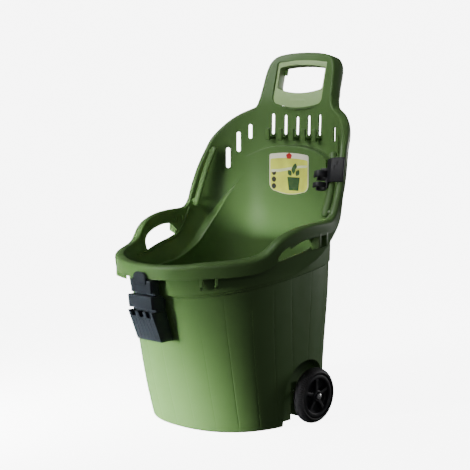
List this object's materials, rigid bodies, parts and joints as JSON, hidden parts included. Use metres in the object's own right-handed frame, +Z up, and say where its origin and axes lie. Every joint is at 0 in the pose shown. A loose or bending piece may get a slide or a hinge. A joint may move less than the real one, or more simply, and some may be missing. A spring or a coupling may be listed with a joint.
{
  "type": "garden cart",
  "caption": "Upright two-wheeled garden cart: deep moulded tub with raised wings, tool hooks, a handle hoop with grip insert, a rail clip and a front tool holster.",
  "frame": {"origin": "middle of the tub's flat base, on the ground, on the symmetry plane", "axes": "+Z up, +Y towards the back panel and handle, +X towards the cart's right side as seen from the front; the axle lies along X"},
  "size_m": [0.4802, 0.5864, 0.8405],
  "materials": {
    "tub_green": "satin, fine grain",
    "light_green": "satin",
    "black_plastic": "satin",
    "tyre_black": "matt, ribbed",
    "bright_steel": "bright",
    "label_paper": "printed, matt"
  },
  "bodies": {
    "cart": {"tub_body": "tub_green", "handle_insert": "light_green", "label": "label_paper", "front_holster": "black_plastic", "axle": "bright_steel", "washer_right": "bright_steel", "washer_left": "bright_steel", "end_cap_right": "bright_steel", "end_cap_left": "bright_steel"},
    "right_wheel": {"wheel_right": "black_plastic", "tyre_right": "tyre_black"},
    "left_wheel": {"wheel_left": "black_plastic", "tyre_left": "tyre_black"},
    "clip": {"rail_clip": "black_plastic"}
  },
  "joints": [
    {"name": "right_wheel_spin", "type": "hinge", "parent": "cart", "child": "right_wheel", "pos_m": [0.2, 0.066, 0.0635], "axis": [1, 0, 0], "continuous": true},
    {"name": "left_wheel_spin", "type": "hinge", "parent": "cart", "child": "left_wheel", "pos_m": [-0.2, 0.066, 0.0635], "axis": [1, 0, 0], "continuous": true},
    {"name": "clip_slide", "type": "slide", "parent": "cart", "child": "clip", "axis": [-0.1809, 0.3567, 0.9165], "range_m": [-0.0025, 0.01]}
  ]
}
